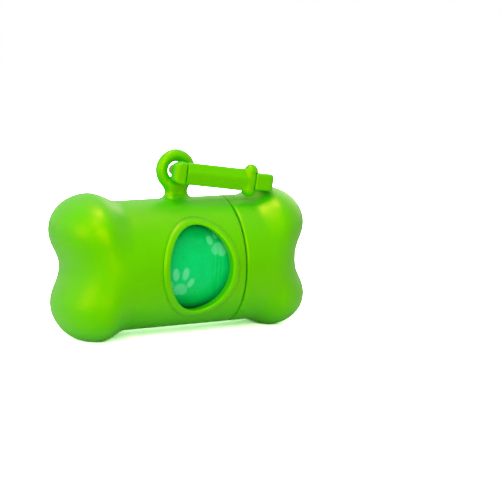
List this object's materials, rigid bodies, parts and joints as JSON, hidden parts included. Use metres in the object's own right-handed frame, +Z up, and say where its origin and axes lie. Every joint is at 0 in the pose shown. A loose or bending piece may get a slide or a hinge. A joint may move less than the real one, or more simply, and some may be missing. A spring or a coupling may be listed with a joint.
{
  "type": "dog poop bag dispenser",
  "caption": "Bone-shaped hollow dispenser with a screw-off end cap, a front window over a roll of bags, a top loop and a hinged-gate clip.",
  "frame": {"origin": "on the resting plane, under the middle of the bone", "axes": "+X along the bone towards the screw-off cap, +Z up towards the loop, -Y out of the window"},
  "size_m": [0.085, 0.0424, 0.0591],
  "materials": {
    "lime_plastic": "satin",
    "teal_film": "satin film",
    "card": "raw"
  },
  "bodies": {
    "body": {"body_shell": "lime_plastic", "body_neck": "lime_plastic", "window_rim": "lime_plastic"},
    "cap_ring": {"cap_collar": "lime_plastic"},
    "cap": {"cap_shell": "lime_plastic"},
    "roll": {"roll_core": "card", "bag_roll": "teal_film", "leading_bag": "teal_film"},
    "clip": {"clip_frame": "lime_plastic", "gate_pin": "lime_plastic"},
    "gate": {"clip_gate": "lime_plastic"}
  },
  "joints": [
    {"name": "cap_travel", "type": "slide", "parent": "body", "child": "cap_ring", "axis": [1, 0, 0], "range_m": [0, 0.009]},
    {"name": "cap_turn", "type": "hinge", "parent": "cap_ring", "child": "cap", "pos_m": [0.0148, 0.00045, 0.02275], "axis": [1, 0, 0], "range_deg": [0, 540]},
    {"name": "roll_spin", "type": "hinge", "parent": "body", "child": "roll", "pos_m": [0, 0.00045, 0.02275], "axis": [1, 0, 0], "continuous": true},
    {"name": "clip_swing", "type": "hinge", "parent": "body", "child": "clip", "pos_m": [-0.00035, 0.00045, 0.05215], "axis": [-0.1105, -0.9929, -0.0432], "range_deg": [0, 190]},
    {"name": "gate_open", "type": "hinge", "parent": "clip", "child": "gate", "pos_m": [-0.00093, -0.00562, 0.05187], "axis": [0.1337, -0.0579, 0.9893], "range_deg": [0, 12], "stiffness_Nm_per_rad": 0.05}
  ],
  "couplings": [
    {"joint": "cap_turn", "follows": "cap_travel", "rad_per_m": 1047.2}
  ]
}
